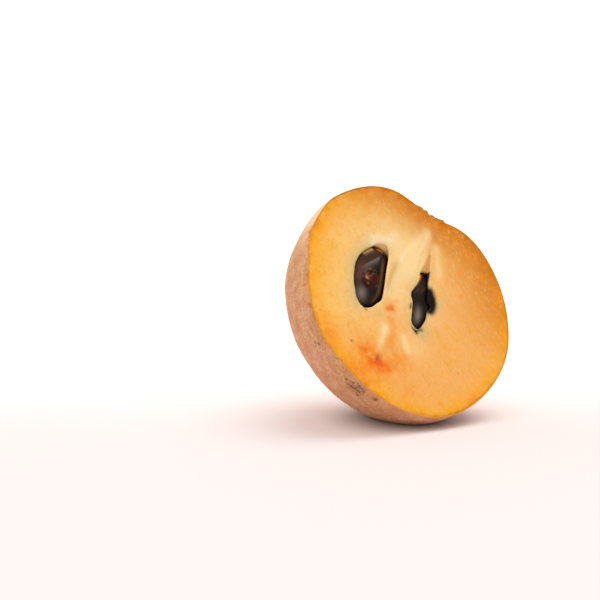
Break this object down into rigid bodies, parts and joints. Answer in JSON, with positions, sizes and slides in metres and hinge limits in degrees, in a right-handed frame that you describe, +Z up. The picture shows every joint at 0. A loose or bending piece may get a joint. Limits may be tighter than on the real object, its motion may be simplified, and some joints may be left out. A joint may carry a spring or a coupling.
{
  "type": "sapodilla half",
  "caption": "Ripe sapodilla cut in half lengthwise, leaning back on its skin, with glossy dark seeds in the orange flesh.",
  "frame": {"origin": "on the flat spot that the fruit rests on, straight below the middle of the fruit's form", "axes": "+Z up, away from what it rests on; -Y the way the cut face looks, which it does 26.5 degrees upwards; +X to the right of one who looks at the cut face"},
  "size_m": [0.0705, 0.0574, 0.0711],
  "materials": {
    "flesh": "satin",
    "skin": "matte",
    "seed": "gloss"
  },
  "bodies": {
    "root": {"fruit_half": "flesh", "seed_left": "seed", "seed_right": "seed"}
  },
  "joints": []
}
